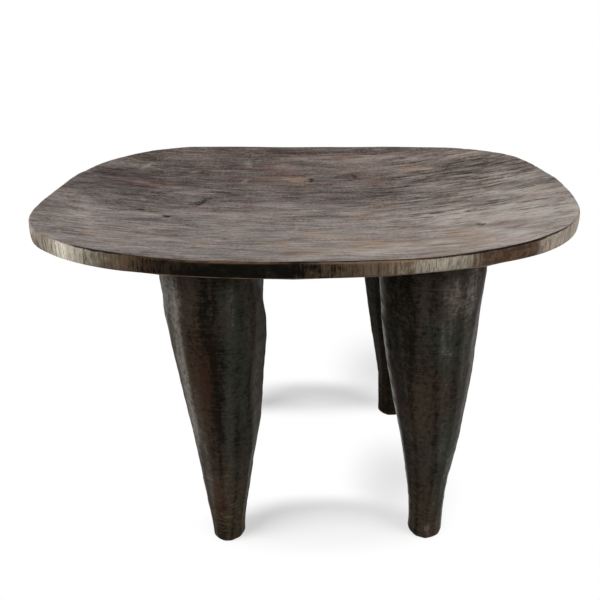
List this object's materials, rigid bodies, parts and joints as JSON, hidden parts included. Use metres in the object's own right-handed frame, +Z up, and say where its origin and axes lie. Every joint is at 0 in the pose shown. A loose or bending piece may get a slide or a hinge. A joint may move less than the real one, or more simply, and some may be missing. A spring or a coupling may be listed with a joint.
{
  "type": "carved wooden stool",
  "caption": "Low carved wooden stool: a shallow dished seat with a rounded-rectangle outline on stout tapering legs, for sitting or as a small table.",
  "frame": {"origin": "on the floor, under the middle of the seat", "axes": "+X along the seat, +Y across it from front to back, +Z up"},
  "size_m": [0.56, 0.39, 0.3799],
  "materials": {
    "seat_wood": "worn satin",
    "leg_wood": "dark satin"
  },
  "bodies": {
    "root": {"seat": "seat_wood", "leg_front_left": "leg_wood", "leg_front_right": "leg_wood", "leg_back_left": "leg_wood", "leg_back_right": "leg_wood"}
  },
  "joints": []
}
